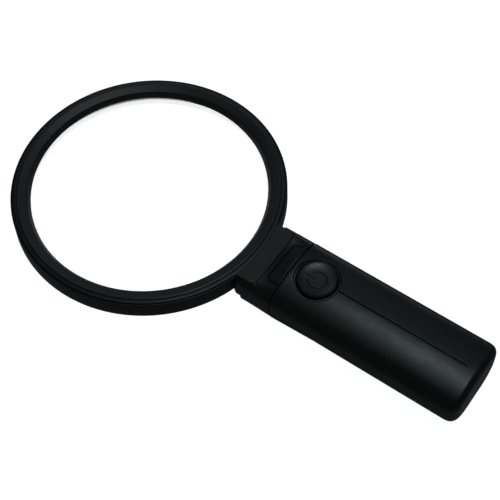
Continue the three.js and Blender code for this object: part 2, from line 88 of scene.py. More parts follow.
# neck, with the plateau of the bezel and the release tab
PLATEAU_X, PLATEAU_HALF, PLATEAU_CORNER, PLATEAU_GAP = (50.0, 65.0), 15.0, 3.0, 0.1
COLLAR_X, COLLAR_Z, NECK_TOP = 65.3, 0.1, -0.3
TAB_X, TAB_HALF, TAB_CORNER, TAB_THICK, TAB_GAP = (67.5, 73.7), 10.4, 2.6, 1.6, 0.14
SLOPE_X, SLOPE_Z = (54.7, 56.2), (-8.8, BOTTOM)

# button cap
CAP_R, CAP_BORE, CAP_STEM, CAP_DOME = 8.4, 7.2, 2.0, 0.8
CAP_RIM, CAP_ROOF, CAP_SKIRT, CAP_FOOT = 3.55, 1.9, -1.2, -1.0
LUG_HALF, LUG_REACH, LUG_TOP = 2.2, (8.0, 9.7), -0.4
DISH = 0.45
MARK_R, MARK_GAP, MARK_BAR, MARK_WIDE, MARK_HIGH = 3.8, 34.0, (-5.0, -1.4), 0.45, 0.34

CAMERA = {"azimuth": 37.02, "elevation": 57.24, "roll": -2.09, "distance": 0.50057, "lens": 86.4,
          "aim": (50.533, 2.401, -9.0)}


# ---------------------------------------------------------------- mesh helpers
def rounded(corners, steps=4):
    """Closed outline from (u, v, radius) corners, each corner turned into an arc."""
    points = []
    for i, (u, v, radius) in enumerate(corners):
        here = Vector((u, v))
        if radius <= 0:
            points.append((u, v))
            continue
        before = Vector(corners[i - 1][:2]) - here
        after = Vector(corners[(i + 1) % len(corners)][:2]) - here
        reach = 0.49 * min(before.length, after.length)
        before.normalize()
        after.normalize()
        half = before.angle(after) / 2
        cut = min(radius / math.tan(half), reach)
        arm = cut * math.tan(half)
        centre = here + (before + after).normalized() * (arm / math.sin(half))
        start = here + before * cut - centre
        stop = here + after * cut - centre
        sweep = start.angle(stop)
        for k in range(steps + 1):
            t = k / steps
            spoke = (start * math.sin((1 - t) * sweep) + stop * math.sin(t * sweep)) / math.sin(sweep)
            points.append(tuple(centre + spoke))
    return points


def raw(name, verts, faces):
    """Object with a merged, outward-facing mesh, still in design millimetres."""
    mesh = bpy.data.meshes.new(name)
    mesh.from_pydata(verts, [], faces)
    clean(mesh)
    obj = bpy.data.objects.new(name, mesh)
    bpy.context.scene.collection.objects.link(obj)
    return obj


def clean(mesh, distance=1e-4):
    """Merges points closer than distance and turns every face outward."""
    work = bmesh.new()
    work.from_mesh(mesh)
    bmesh.ops.remove_doubles(work, verts=work.verts, dist=distance)
    bmesh.ops.dissolve_degenerate(work, edges=work.edges, dist=distance)
    bmesh.ops.recalc_face_normals(work, faces=work.faces)
    work.to_mesh(mesh)
    work.free()


def lathe(name, profile, steps=192, centre=(0.0, 0.0)):
    """Closed (radius, z) profile spun about a vertical axis."""
    n = len(profile)
    verts = []
    faces = []
    for k in range(steps):
        turn = 2 * math.pi * k / steps
        for r, z in profile:
            verts.append((centre[0] + r * math.cos(turn), centre[1] + r * math.sin(turn), z))
        nxt = (k + 1) % steps
        for i in range(n):
            j = (i + 1) % n
            faces.append((k * n + i, k * n + j, nxt * n + j, nxt * n + i))
    return raw(name, verts, faces)


def loft(name, rings):
    """Skin through closed rings of equal length, with both ends closed."""
    n = len(rings[0])
    verts = [p for ring in rings for p in ring]
    faces = []
    for k in range(len(rings) - 1):
        for i in range(n):
            j = (i + 1) % n
            faces.append((k * n + i, k * n + j, (k + 1) * n + j, (k + 1) * n + i))
    faces.append(tuple(range(n)))
    faces.append(tuple(len(verts) - n + i for i in reversed(range(n))))
    return raw(name, verts, faces)


def prism(name, outline, low, high):
    """Flat (x, y) outline raised from z = low to z = high."""
    return loft(name, [[(x, y, z) for x, y in outline] for z in (low, high)])


def block(name, low, high):
    """Box between two corners."""
    outline = [(low[0], low[1]), (high[0], low[1]), (high[0], high[1]), (low[0], high[1])]
    return prism(name, outline, low[2], high[2])


def cad_copy(node):
    """Copy of a CAD solid in design millimetres."""
    mesh = frame["nodes"][node].data.copy()
    mesh.transform(Matrix.Scale(1 / MM, 4) @ Matrix.Translation(-ORIGIN))
    obj = bpy.data.objects.new(node + "_copy", mesh)
    bpy.context.scene.collection.objects.link(obj)
    clean(mesh)
    return obj


def combine(base, *steps):
    """Applies (operation, tool) boolean steps to base, in order, and drops the tools."""
    for operation, tool in steps:
        change = base.modifiers.new(operation, "BOOLEAN")
        change.operation = operation
        change.solver = "MANIFOLD"
        change.object = tool
    solved = base.evaluated_get(bpy.context.evaluated_depsgraph_get())
    mesh = bpy.data.meshes.new_from_object(solved)
    base.modifiers.clear()
    base.data = mesh
    for _, tool in steps:
        bpy.data.objects.remove(tool)
    clean(mesh)
    return base


def piece(obj, name, body, slot, *nodes, smooth=28):
    """Moves a finished mesh to metres and declares what it is."""
    obj.data.transform(Matrix.Translation(ORIGIN) @ Matrix.Scale(MM, 4))
    obj.name = name
    obj.data.name = name
    obj.data.materials.clear()
    obj.data.materials.append(MATERIALS[slot])
    obj.data.polygons.foreach_set("use_smooth", [True] * len(obj.data.polygons))
    obj.data.set_sharp_from_angle(angle=math.radians(smooth))
    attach(obj, body)
    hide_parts(*nodes)
    return obj


# ---------------------------------------------------------------- handle form
def rise(radius, over):
    """Height lost over a quarter round, at a distance past its start."""
    return radius - math.sqrt(max(0.0, radius ** 2 - over ** 2)) if over > 0 else 0.0


def roll(distance):
    """Inset of a rolled edge at a distance from the edge."""
    return rise(EDGE, EDGE - distance) if distance < EDGE else 0.0


def ramp(t):
    """Smooth step from 0 to 1."""
    t = min(max(t, 0.0), 1.0)
    return t * t * (3 - 2 * t)


def handle_shape(x):
    """Half width, top, bottom, upper and lower corner radius and crown radius of the handle at x."""
    side = rise(PLAN_R, x - (END - PLAN_R))
    fold = rise(FOLD_R, x - (END - FOLD_R))
    heel = rise(HEEL_R, x - (END - HEEL_R))
    chin = CHIN_LESS * min(max((CHIN_X[1] - x) / (CHIN_X[1] - CHIN_X[0]), 0.0), 1.0)
    upper = UPPER_R - CORNER_LESS * side
    lower = LOWER_R - chin - CORNER_LESS * side
    return (WIDTH - side, TOP - fold, BOTTOM + heel, upper, lower, CROWN_R)


def crown_edge(shape):
    """Angle on the crown where the upper corner arc starts."""
    w, _, _, r1, _, crown = shape
    span = w - r1
    return math.atan2(span, math.sqrt((crown - r1) ** 2 - span ** 2))


def flank_y(shape, z, inset):
    """Half width of the section at height z, below the upper corner arc."""
    w, _, bottom, _, r2, _ = shape
    below = bottom + r2 - z
    if below <= 0:
        return w - inset
    arm = r2 - inset
    return w - r2 + math.sqrt(max(0.0, arm ** 2 - below ** 2))


def upper_side(shape, inset, floor, steps=7):
    """Right side of the section from the crown's edge down to floor, as (y, z)."""
    w, top, _, r1, _, crown = shape
    lean = crown_edge(shape)
    arm = r1 - inset
    cy = w - r1
    cz = top - crown + math.sqrt((crown - r1) ** 2 - cy ** 2)
    side = []
    for k in range(steps + 1):
        t = lean + (math.pi / 2 - lean) * k / steps
        side.append((cy + arm * math.sin(t), cz + arm * math.cos(t)))
    for f in (0.3, 0.6, 0.9):
        z = cz + (floor + EDGE - cz) * f
        side.append((flank_y(shape, z, inset), z))
    for lift in (EDGE, 0.24, 0.15, 0.08, 0.03, 0.0):
        z = floor + lift
        side.append((flank_y(shape, z, inset + roll(lift)), z))
    return side


def lower_side(shape, inset, ceiling, steps=12):
    """Right side of the section from ceiling down to the flat bottom, as (y, z)."""
    w, _, bottom, _, r2, _ = shape
    side = []
    for drop in (0.0, 0.03, 0.08, 0.15, 0.24, EDGE):
        z = ceiling - drop
        side.append((flank_y(shape, z, inset + roll(drop)), z))
    arm = r2 - inset
    start = math.acos(max(-1.0, min(1.0, (ceiling - EDGE - bottom - r2) / arm)))
    for k in range(1, steps + 1):
        t = start + (math.pi - start) * k / steps
        side.append((w - r2 + arm * math.sin(t), bottom + r2 + arm * math.cos(t)))
    return side


def whole_ring(shape, inset, crown_steps=12, upper_steps=8, lower_steps=12):
    """Whole section as a closed ring of (y, z)."""
    w, top, bottom, r1, r2, crown = shape
    lean = crown_edge(shape)
    right = []
    for k in range(crown_steps):
        t = lean * k / crown_steps
        right.append(((crown - inset) * math.sin(t), top - crown + (crown - inset) * math.cos(t)))
    cy = w - r1
    cz = top - crown + math.sqrt((crown - r1) ** 2 - cy ** 2)
    for k in range(upper_steps + 1):
        t = lean + (math.pi / 2 - lean) * k / upper_steps
        right.append((cy + (r1 - inset) * math.sin(t), cz + (r1 - inset) * math.cos(t)))
    for k in range(lower_steps + 1):
        t = math.pi / 2 + math.pi / 2 * k / lower_steps
        right.append((w - r2 + (r2 - inset) * math.sin(t), bottom + r2 + (r2 - inset) * math.cos(t)))
    return right + [(-y, z) for y, z in reversed(right[1:])]


def handle_rows(start, stop, rolled_stop):
    """Stations along the handle between two ends, with each rolled edge and the far rounding resolved."""
    rolls = (0.0, 0.02, 0.06, 0.12, 0.2, 0.28, EDGE)
    rows = {round(start + d, 4) for d in rolls}
    if rolled_stop:
        rows |= {round(stop - d, 4) for d in rolls}
    else:
        rows |= {round(END - PLAN_R * (1 - math.sin(math.radians(a))), 4) for a in range(0, 91, 9)}
        rows |= {round(END - FOLD_R * (1 - math.sin(math.radians(a))), 4) for a in range(0, 91, 10)}
    x = start + ROW_STEP
    last = stop - (1.2 if rolled_stop else 6.2)
    while x < last:
        rows.add(round(x, 4))
        x += ROW_STEP
    return sorted(rows)


def core(inset):
    """Solid handle volume shrunk by inset, open past the seam, used to split skin from inside."""
    stops = (4.6, 3.6, 2.6, 1.7, 1, 0.45, 0.1, 0)
    rings = []
    for x in [SEAM - 6, *CHIN_X] + [END - d for d in stops]:
        at = x - inset * max(0.0, (x - SEAM) / (END - SEAM))
        rings.append([(at, y, z) for y, z in whole_ring(handle_shape(x), inset)])
    return loft("core", rings)


def with_inside(skin, node):
    """Joins a fine outer skin to the inner half of the CAD wall and everything within it."""
    inside = combine(cad_copy(node), ("INTERSECT", core(INSIDE_DEPTH)))
    return combine(skin, ("DIFFERENCE", core(SKIN_DEPTH)), ("UNION", inside))


# ---------------------------------------------------------------- upper shell
def crown_detail(x, y):
    """Depth of the button recess and of the long groove below the crown."""
    from_button = math.hypot(x - BUTTON_X, y)
    depth = RECESS_DEPTH * ramp((RECESS_R - from_button) / RECESS_WALL)
    along = min(max(x, GROOVE_X[0]), GROOVE_X[1])
    from_line = math.hypot(x - along, y)
    return max(depth, GROOVE_DEPTH * ramp((GROOVE_HALF - from_line) / GROOVE_WALL))


def groove_loop(off, steps=44, turn=15):
    """Loop at a distance from the groove's line, with round ends."""
    start, stop = GROOVE_X
    angles = [math.radians(90 + turn * k) for k in range(180 // turn + 1)]
    near = [(start + off * math.cos(a), off * math.sin(a)) for a in angles]
    far = [(stop - off * math.cos(a), -off * math.sin(a)) for a in angles]
    low = [(start + (stop - start) * k / steps, -off) for k in range(1, steps)]
    high = [(stop - (stop - start) * k / steps, off) for k in range(1, steps)]
    return near + low + far + high


def crown_points(rows, columns):
    """Points and constraint edges of the crown, in flat (x, y)."""
    around = 144
    button_zone, groove_zone, groove_end, groove_step = 11.2, 1.1, 1.2, 1.3
    points = []
    edges = []

    def loop(new):
        base = len(points)
        points.extend(new)
        edges.extend((base + i, base + (i + 1) % len(new)) for i in range(len(new)))

    for r in (8.7, 9.0, 9.25, 9.38, 9.46, 9.55, 9.65, 9.75, 9.84, 9.94, 10.2, 10.7):
        turns = [2 * math.pi * k / around for k in range(around)]
        loop([(BUTTON_X + r * math.cos(a), r * math.sin(a)) for a in turns])
    for off in (0.24, 0.34, 0.4, 0.46, 0.52, 0.58, 0.72):
        loop(groove_loop(off))
    points.extend((GROOVE_X[0] + groove_step * k, 0.0) for k in range(2, 44))
    for x in rows:
        for y in columns:
            edge = x in (rows[0], rows[-1]) or y in (columns[0], columns[-1])
            clear = math.hypot(x - BUTTON_X, y) > button_zone
            off_line = abs(y) > groove_zone or not GROOVE_X[0] - groove_end < x < GROOVE_X[1] + groove_end
            if edge or (clear and off_line):
                points.append((x, y))
    return points, edges


def upper_skin():
    """Closed skin of the upper shell: crown with its detail, two sides, flat underside and ends."""
    rows = handle_rows(SEAM, END, False)
    full = math.sin(crown_edge(handle_shape(SEAM + 9))) * CROWN_R
    columns = [full * k / 9 for k in range(-9, 10)]
    verts = []
    faces = []

    def crown_at(x, y):
        shape = handle_shape(x)
        turn = crown_edge(shape) * math.asin(y / CROWN_R) / math.asin(full / CROWN_R)
        arm = CROWN_R - roll(x - SEAM) - crown_detail(x, y)
        return (x, arm * math.sin(turn), shape[1] - CROWN_R + arm * math.cos(turn))

    points, edges = crown_points(rows, columns)
    flat, _, tris, *_ = delaunay_2d_cdt([Vector(p) for p in points], edges, [], 0, 1e-5)
    verts.extend(crown_at(p.x, max(-full, min(full, p.y))) for p in flat)
    faces.extend(tuple(t) for t in tris)

    rims = []
    for x in rows:
        side = upper_side(handle_shape(x), roll(x - SEAM), UPPER_PART)
        right = [(x, y, z) for y, z in side]
        left = [(x, -y, z) for y, z in side]
        rims.append((left, right))
    for left, right in (tuple(zip(*pair)) for pair in zip(rims, rims[1:])):
        for a, b in (left, right):
            base = len(verts)
            verts.extend(a)
            verts.extend(b)
            n = len(a)
            faces.extend((base + i, base + i + 1, base + n + i + 1, base + n + i) for i in range(n - 1))
        base = len(verts)
        verts.extend((left[0][-1], right[0][-1], right[1][-1], left[1][-1]))
        faces.append((base, base + 1, base + 2, base + 3))
    for x, (left, right) in ((rows[0], rims[0]), (rows[-1], rims[-1])):
        cap = list(reversed(left)) + [crown_at(x, y) for y in columns[1:-1]] + right
        base = len(verts)
        verts.extend(cap)
        faces.append(tuple(range(base, base + len(cap))))
    return raw("upper_skin", verts, faces)


def upper_shell():
    hole = lathe("hole", [(0, -8), (BUTTON_HOLE, -8), (BUTTON_HOLE, 8), (0, 8)], 144, (BUTTON_X, 0))
    skin = combine(upper_skin(), ("DIFFERENCE", hole))
    return with_inside(skin, "upper_shell")


# ---------------------------------------------------------------- lower mouldings
def lower_skin(start, stop, rolled_stop):
    """Closed skin of a moulding under the parting line, between two stations."""
    rings = []
    for x in handle_rows(start, stop, rolled_stop):
        inset = roll(x - start) + (roll(stop - x) if rolled_stop else 0.0)
        side = lower_side(handle_shape(x), inset, LOWER_PART)
        ring = [(x, y, z) for y, z in side] + [(x, -y, z) for y, z in reversed(side)]
        if inset:
            ring = [(x, y, max(z, BOTTOM + inset)) for x, y, z in ring]
        rings.append(ring)
    return loft("lower_skin", rings)


def lower_shell():
    skin = with_inside(lower_skin(SEAM, COVER_START - 0.3, True), "lower_shell")
    flare = [(0, -20), (SCREW_WELL + 0.45, -20), (SCREW_WELL + 0.45, BOTTOM - 0.05),
             (SCREW_WELL + 0.3, BOTTOM + 0.12), (SCREW_WELL + 0.1, BOTTOM + 0.3),
             (SCREW_WELL, BOTTOM + 0.55), (SCREW_WELL, WELL_FLOOR), (0, WELL_FLOOR)]
    cuts = [("DIFFERENCE", lathe("well", flare, 64, (x, s * SCREW_Y)))
            for x in SCREW_X for s in (-1, 1)]
    return combine(skin, *cuts)


def battery_cover():
    skin = lower_skin(COVER_START, END, False)
    for x in RIBS:
        trough = rounded([(x - 0.15, BOTTOM - 1, 0), (x + RIB_WIDE + 0.15, BOTTOM - 1, 0),
                          (x + RIB_WIDE, BOTTOM + RIB_DEEP, 0.3), (x, BOTTOM + RIB_DEEP, 0.3)])
        tool = loft("trough", [[(u, y, v) for u, v in trough] for y in (-RIB_HALF, RIB_HALF)])
        skin = combine(skin, ("DIFFERENCE", tool))
    return with_inside(skin, "battery_cover")


# ---------------------------------------------------------------- lens head
def ring_profile():
    """Section of the frame round the lens, as (radius, z)."""
    return rounded([
        (LENS_BORE - 1.0, LENS_SHELF, 0.15), (LENS_BORE, LENS_SHELF, 0.0), (LENS_BORE, SEAT_Z, 0.1),
        (SEAT_R, SEAT_Z, 0.0), (SEAT_R, RIM_TOP, 0.15), (RIM_R - 0.1, RIM_TOP, 0.25),
        (RIM_R, RIM_BOTTOM + 1.0, 1.0), (RIM_R - 0.15, RIM_BOTTOM + 0.3, 0.4),
        (RIM_R - 0.7, RIM_BOTTOM, 0.3), (LENS_BORE + 1.0, RIM_BOTTOM, 0.4)])


def climb(x):
    """How far x is along the collar, from 0 at its start to 1 at the seam."""
    return (x - COLLAR_X) / (SEAM - COLLAR_X)


def collar_top(x):
    return COLLAR_Z + climb(x) * (TOP - COLLAR_Z - 0.05)


def collar_crown(x):
    return 1 / (climb(x) / CROWN_R + (1 - climb(x)) / FLAT_R)


def slope_floor(x):
    t = (x - SLOPE_X[0]) / (SLOPE_X[1] - SLOPE_X[0])
    return SLOPE_Z[0] + min(max(t, 0.0), 1.0) * (SLOPE_Z[1] - SLOPE_Z[0])


NECK = [  # x, half width, upper radius, lower radius
    (54.7, 16.25, 3.5, 2.6), (56.2, 16.25, 3.5, 7.4), (59.0, 16.25, 3.5, 7.4), (59.3, 17.1, 3.5, 7.4),
    (65.2, 17.1, 3.5, 7.4), (65.3, 17.1, 3.8, 7.4), (73.7, 17.3, 6.0, 7.4)]


def neck_shape(x, flat_top=NECK_TOP):
    """Section of the neck and collar at x, in the order that handle_shape uses."""
    for (x0, *a), (x1, *b) in zip(NECK, NECK[1:]):
        if x <= x1:
            break
    t = min(max((x - x0) / (x1 - x0), 0.0), 1.0)
    w, r1, r2 = (p + (q - p) * t for p, q in zip(a, b))
    on_collar = x > COLLAR_X - 0.05
    top = collar_top(x) if on_collar else flat_top
    return (w, top, slope_floor(x), r1, r2, collar_crown(x) if on_collar else FLAT_R)


def neck_volume(inset, rows, rolled=False, flat_top=NECK_TOP):
    """Solid neck shrunk by inset, through the given stations."""
    rings = []
    for x in rows:
        extra = roll(NECK_END - x) if rolled else 0.0
        rings.append([(x, y, z) for y, z in whole_ring(neck_shape(x, flat_top), inset + extra)])
    return loft("neck", rings)


def slope_box(name, along, half, depth, corner):
    """Block set in the neck's leaning front face: distances down it, half width, depths."""
    dx = SLOPE_X[1] - SLOPE_X[0]
    dz = SLOPE_Z[1] - SLOPE_Z[0]
    outline = rounded([(along[0], -half, corner), (along[1], -half, corner), (along[1], half, corner),
                       (along[0], half, corner)], 5)
    solid = prism(name, outline, depth[0], depth[1])
    place = Matrix.Translation((SLOPE_X[0], 0, SLOPE_Z[0])) @ Matrix.Rotation(math.atan2(-dz, dx), 4, "Y")
    solid.data.transform(place)
    return solid


def bore(name, radius, floor, top=20.0):
    """Round cutter on the lens axis."""
    return lathe(name, [(0, floor), (radius, floor), (radius, top), (0, top)], 240)


def tab_outline(clearance, stop):
    """U-shaped outline of the release tab, closed at x = stop."""
    h = TAB_HALF + clearance
    left = TAB_X[0] - clearance
    corner = TAB_CORNER + clearance
    return rounded([(stop, -h, 0), (stop, h, 0), (left, h, corner), (left, -h, corner)], 10)


def head_frame():
    rows = [54.7, 55.1, 55.6, 56.2, 57.5, 58.9, 59.0, 59.08, 59.22, 59.3, 59.4, 61, 63, 64.4, 65.2, 65.3,
            65.8, 66.4, 67.2, 68, 69.5, 71, 72.5]
    rows += [NECK_END - d for d in (EDGE, 0.28, 0.2, 0.12, 0.06, 0.02, 0.0)]
    hatch = rounded([(59.4, -12, 1), (63.9, -12, 1), (63.9, 12, 1), (59.4, 12, 1)])
    socket_rows = [56.2, 57.6, 59, 59.3, 62, 65.2, 65.3, 68, 71, 73.7, 78]
    socket = combine(neck_volume(WALL, socket_rows, flat_top=SEAT_Z),
                     ("INTERSECT", block("clip", (57.6, -30, -30), (80, 30, 10))))
    seat = plateau_outline(PLATEAU_GAP)
    return combine(
        lathe("head_frame", ring_profile(), 240),
        ("UNION", neck_volume(0.0, rows, True)),
        ("DIFFERENCE", socket),
        ("DIFFERENCE", prism("hatch", hatch, -6.0, 0.0)),
        ("DIFFERENCE", slope_box("window", (2.0, 8.4), 11.3, (-1.0, 4.4), 0.8)),
        ("DIFFERENCE", prism("slot", tab_outline(TAB_GAP, 80.0), -4.2, 20.0)),
        ("DIFFERENCE", prism("seat", seat, SEAT_Z, 20.0)),
        ("DIFFERENCE", bore("bezel_seat", SEAT_R, SEAT_Z)),
        ("DIFFERENCE", bore("lens_bore", LENS_BORE, LENS_SHELF)),
    )


def plateau_outline(grow):
    """Outline of the bezel's plate over the neck, grown all round."""
    h = PLATEAU_HALF + grow
    stop = PLATEAU_X[1] + grow
    corner = PLATEAU_CORNER + grow
    return rounded([(PLATEAU_X[0], -h, 0), (stop, -h, corner), (stop, h, corner), (PLATEAU_X[0], h, 0)], 10)


def bezel():
    """Ring with its raised band, joined to the plate over the neck."""
    lip_r, lip_z = BEZEL_LIP
    shoulder = [(LAND_R[1] + (LAND_EDGE - LAND_R[1]) * math.cos(math.radians(a)),
                 LAND_Z[1] * math.sin(math.radians(a)), 0.0) for a in range(0, 91, 10)]
    land = [(LAND_R[1] + (LAND_R[0] - LAND_R[1]) * t, LAND_Z[1] + (LAND_Z[0] - LAND_Z[1]) * t, 0.0)
            for t in (0.06, 0.12, 0.3, 0.6, 0.85)]
    ring = rounded([
        (51.35, lip_z, 0.2), (lip_r, lip_z, 0.0), (lip_r, BEZEL_UNDER, 0.0),
        (BEZEL_R - 0.4, BEZEL_UNDER, 0.1), (BEZEL_R, -1.0, 0.1), (BEZEL_R, 0.0, 0.35),
        *shoulder, *land, (LAND_R[0], LAND_Z[0], 0.3),
        (51.55, -0.85, 0.2), (50.55, -2.4, 0.3), (50.45, -2.9, 0.1)])
    body = lathe("bezel", ring, 240)
    levels = ((0, BEZEL_UNDER), (0, -0.5), (0.03, -0.36), (0.1, -0.24), (0.2, -0.16), (0.34, -0.12),
              (0.5, -0.12), (0.8, -0.12))
    rings = [[(x, y, z) for x, y in plateau_outline(-inset)] for inset, z in levels]
    plate = combine(loft("plate", rings), ("DIFFERENCE", bore("bore", LAND_R[1], -5.0, 5.0)))
    return combine(body, ("UNION", plate))


def lens():
    """Bi-convex lens with a flat rim that the bezel holds."""
    curve, clear, rim_r, top, edge = 270.0, 51.2, 53.2, -3.7, 1.7

    def sag(r):
        return curve - math.sqrt(curve * curve - r * r)

    radii = [clear * k / 24 for k in range(25)]
    front = [(r, top + sag(clear) - sag(r)) for r in radii]
    back = [(r, top - edge - sag(clear) + sag(r)) for r in reversed(radii)]
    rim = rounded([(clear, top, 0), (rim_r, top, 0.2), (rim_r, top - edge, 0.2), (clear, top - edge, 0)])
    return lathe("lens", front + rim[1:-1] + back, 240)


def release_tab():
    """Plate that follows the collar, with rolled edges, over the lip and stem of the CAD solid."""
    def surface(x, y, depth):
        crown = collar_crown(x)
        turn = math.asin(y / crown)
        arm = crown - depth
        return (x, arm * math.sin(turn), collar_top(x) - crown + arm * math.cos(turn))

    step = 1.2
    levels = ((0.0, TAB_THICK), (0.0, 0.8), (0.0, 0.4), (0.03, 0.27), (0.1, 0.15), (0.2, 0.06), (0.34, 0.0))
    rings = []
    for inset, depth in levels:
        h = TAB_HALF - inset
        x0, x1 = TAB_X[0] + inset, TAB_X[1] - inset
        corner = TAB_CORNER - inset
        outline = rounded([(x1, -h, 0.35), (x1, h, 0.35), (x0, h, corner), (x0, -h, corner)], 8)
        dense = []
        for a, b in zip(outline, outline[1:] + outline[:1]):
            n = max(1, int(math.dist(a, b) / step)) if math.dist(a, b) > 2 else 1
            dense += [(a[0] + (b[0] - a[0]) * k / n, a[1] + (b[1] - a[1]) * k / n) for k in range(n)]
        rings.append((dense, depth))
    count = min(len(r) for r, _ in rings)
    rings = [([r[int(i * len(r) / count)] for i in range(count)], d) for r, d in rings]
    verts = [surface(x, y, d) for ring, d in rings for x, y in ring]
    faces = []
    for k in range(len(rings) - 1):
        for i in range(count):
            j = (i + 1) % count
            faces.append((k * count + i, k * count + j, (k + 1) * count + j, (k + 1) * count + i))
    for ring, depth in (rings[0], rings[-1]):
        grid = [(69 + step * i, step * k) for i in range(4) for k in range(-8, 9)
                if abs(step * k) < TAB_HALF - step]
        loop = [(i, (i + 1) % count) for i in range(count)]
        flat, _, tris, *_ = delaunay_2d_cdt([Vector(p) for p in ring + grid], loop, [], 1, 1e-6)
        base = len(verts)
        verts.extend(surface(p.x, p.y, depth) for p in flat)
        faces.extend(tuple(base + i for i in t) for t in tris)
    plate = raw("release_tab", verts, faces)
    under = combine(cad_copy("release_tab"),
                    ("INTERSECT", block("under", (60, -9, -10), (80, 9, -0.6))))
    return combine(plate, ("UNION", under))


# ---------------------------------------------------------------- button
def button_cap():
    """Hollow cap with a stem, a rolled rim, a dished top, two lugs and a raised mark."""
    face = CAP_R - CAP_DOME
    inside = [(0.0, CAP_FOOT), (CAP_STEM, CAP_FOOT), (CAP_STEM, CAP_ROOF), (CAP_BORE, CAP_ROOF),
              (CAP_BORE, CAP_SKIRT), (CAP_R, CAP_SKIRT), (CAP_R, CAP_RIM - CAP_DOME)]
    dome = [(CAP_R - rise(CAP_DOME, CAP_DOME * k / 6), CAP_RIM - CAP_DOME * (1 - k / 6))
            for k in range(1, 7)]
    dish = [(face * k / 20, CAP_RIM - DISH * (1 - (k / 20) ** 4)) for k in range(19, 0, -1)]
    profile = inside + dome + dish + [(0.0, CAP_RIM - DISH)]
    cap = lathe("button_cap", profile, 144, (BUTTON_X, 0))
    steps = []
    for side in (-1, 1):
        near, far = sorted(side * reach for reach in LUG_REACH)
        lug = block("lug", (BUTTON_X - LUG_HALF, near, CAP_SKIRT), (BUTTON_X + LUG_HALF, far, LUG_TOP))
        steps.append(("UNION", lug))
    for path in power_mark(CAP_RIM - DISH):
        steps.append(("UNION", tube("mark", path, MARK_WIDE, MARK_HIGH)))
    return combine(cap, *steps)


def power_mark(z):
    """A generic power sign: an open ring with a bar through its gap."""
    gap = math.radians(MARK_GAP)
    ring = []
    for k in range(41):
        a = math.pi + gap + (2 * math.pi - 2 * gap) * k / 40
        ring.append((BUTTON_X + MARK_R * math.cos(a), MARK_R * math.sin(a), z))
    start, stop = MARK_BAR
    bar = [(BUTTON_X + start + (stop - start) * k / 6, 0.0, z) for k in range(7)]
    return ring, bar


def tube(name, path, wide, high, sides=12):
    """Oval bead along a flat path, with domed ends."""
    rings = []
    last = len(path) - 1
    for i, p in enumerate(path):
        here = Vector(p)
        ahead = (Vector(path[min(i + 1, last)]) - Vector(path[max(i - 1, 0)])).normalized()
        side = ahead.cross(Vector((0, 0, 1))).normalized()
        up = side.cross(ahead)

        def ring(at, part):
            return [tuple(at + side * wide * part * math.cos(2 * math.pi * k / sides)
                          + up * high * part * math.sin(2 * math.pi * k / sides)) for k in range(sides)]
        ends = ((0.97, 0.25), (0.7, 0.7))
        if i == 0:
            rings += [ring(here - ahead * wide * out, part) for out, part in ends]
        rings.append(ring(here, 1.0))
        if i == last:
            rings += [ring(here + ahead * wide * out, part) for out, part in reversed(ends)]
    return loft(name, rings)


# ---------------------------------------------------------------- springs
def coil_spring(node):
    """Round-wire spring in the CAD spring's box."""
    base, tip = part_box(node)
    low, high = ((Vector(p) - ORIGIN) / MM for p in (base, tip))
    middle = (low + high) / 2
    radius = (high.x - low.x) / 2 - SPRING_WIRE
    count = SPRING_TURNS * 24
    path = []
    for k in range(count + 1):
        t = k / count
        turn = 2 * math.pi * SPRING_TURNS * t
        height = low.z + SPRING_WIRE + (high.z - low.z - 2 * SPRING_WIRE) * ramp(t)
        path.append((middle.x + radius * math.cos(turn), middle.y + radius * math.sin(turn), height))
    wire = tube(node, path, SPRING_WIRE, SPRING_WIRE)
    made = piece(wire, node + "_fine", "handle", "spring_steel", node, smooth=60)
    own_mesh(made)


# ---------------------------------------------------------------- materials
def node(tree, kind, **inputs):
    """Shader node with its inputs set or linked by name."""
    made = tree.nodes.new("ShaderNode" + kind)
    for name, value in inputs.items():
        socket = made.inputs[name.replace("_", " ")]
        if isinstance(value, bpy.types.NodeSocket):
            tree.links.new(value, socket)
        else:
            socket.default_value = value
    return made


def noise(tree, scale, detail=2.0, stretch=(1, 1, 1)):
    """Noise in the object's own coordinates."""
    place = node(tree, "Mapping", Vector=node(tree, "TexCoord").outputs["Object"], Scale=stretch)
    return node(tree, "TexNoise", Vector=place.outputs["Vector"], Scale=scale, Detail=detail).outputs["Fac"]


def spread(tree, value, low, high, start=0.35, stop=0.65):
    """Maps a value from start..stop to low..high."""
    made = node(tree, "MapRange", Value=value)
    for name, number in (("From Min", start), ("From Max", stop), ("To Min", low), ("To Max", high)):
        made.inputs[name].default_value = number
    return made.outputs["Result"]


def blend(tree, factor, first, second):
    """Colour mix."""
    made = tree.nodes.new("ShaderNodeMix")
    made.data_type = "RGBA"
    tree.links.new(factor, made.inputs["Factor"])
    for socket, value in ((made.inputs[6], first), (made.inputs[7], second)):
        if isinstance(value, bpy.types.NodeSocket):
            tree.links.new(value, socket)
        else:
            socket.default_value = (*value, 1.0)
    return made.outputs[2]


def calculate(tree, operation, first, second):
    """Math node on two values."""
    made = node(tree, "Math")
    made.operation = operation
    tree.links.new(first, made.inputs[0])
    tree.links.new(second, made.inputs[1])
    return made.outputs[0]


def start_material(name, **sockets):
    """Node material with uniform values set on its shader."""
    made = bpy.data.materials.new(name)
    made.use_nodes = True
    tree = made.node_tree
    shader = tree.nodes["Principled BSDF"]
    for key, value in sockets.items():
        shader.inputs[key.replace("_", " ")].default_value = value
    return made, tree, shader


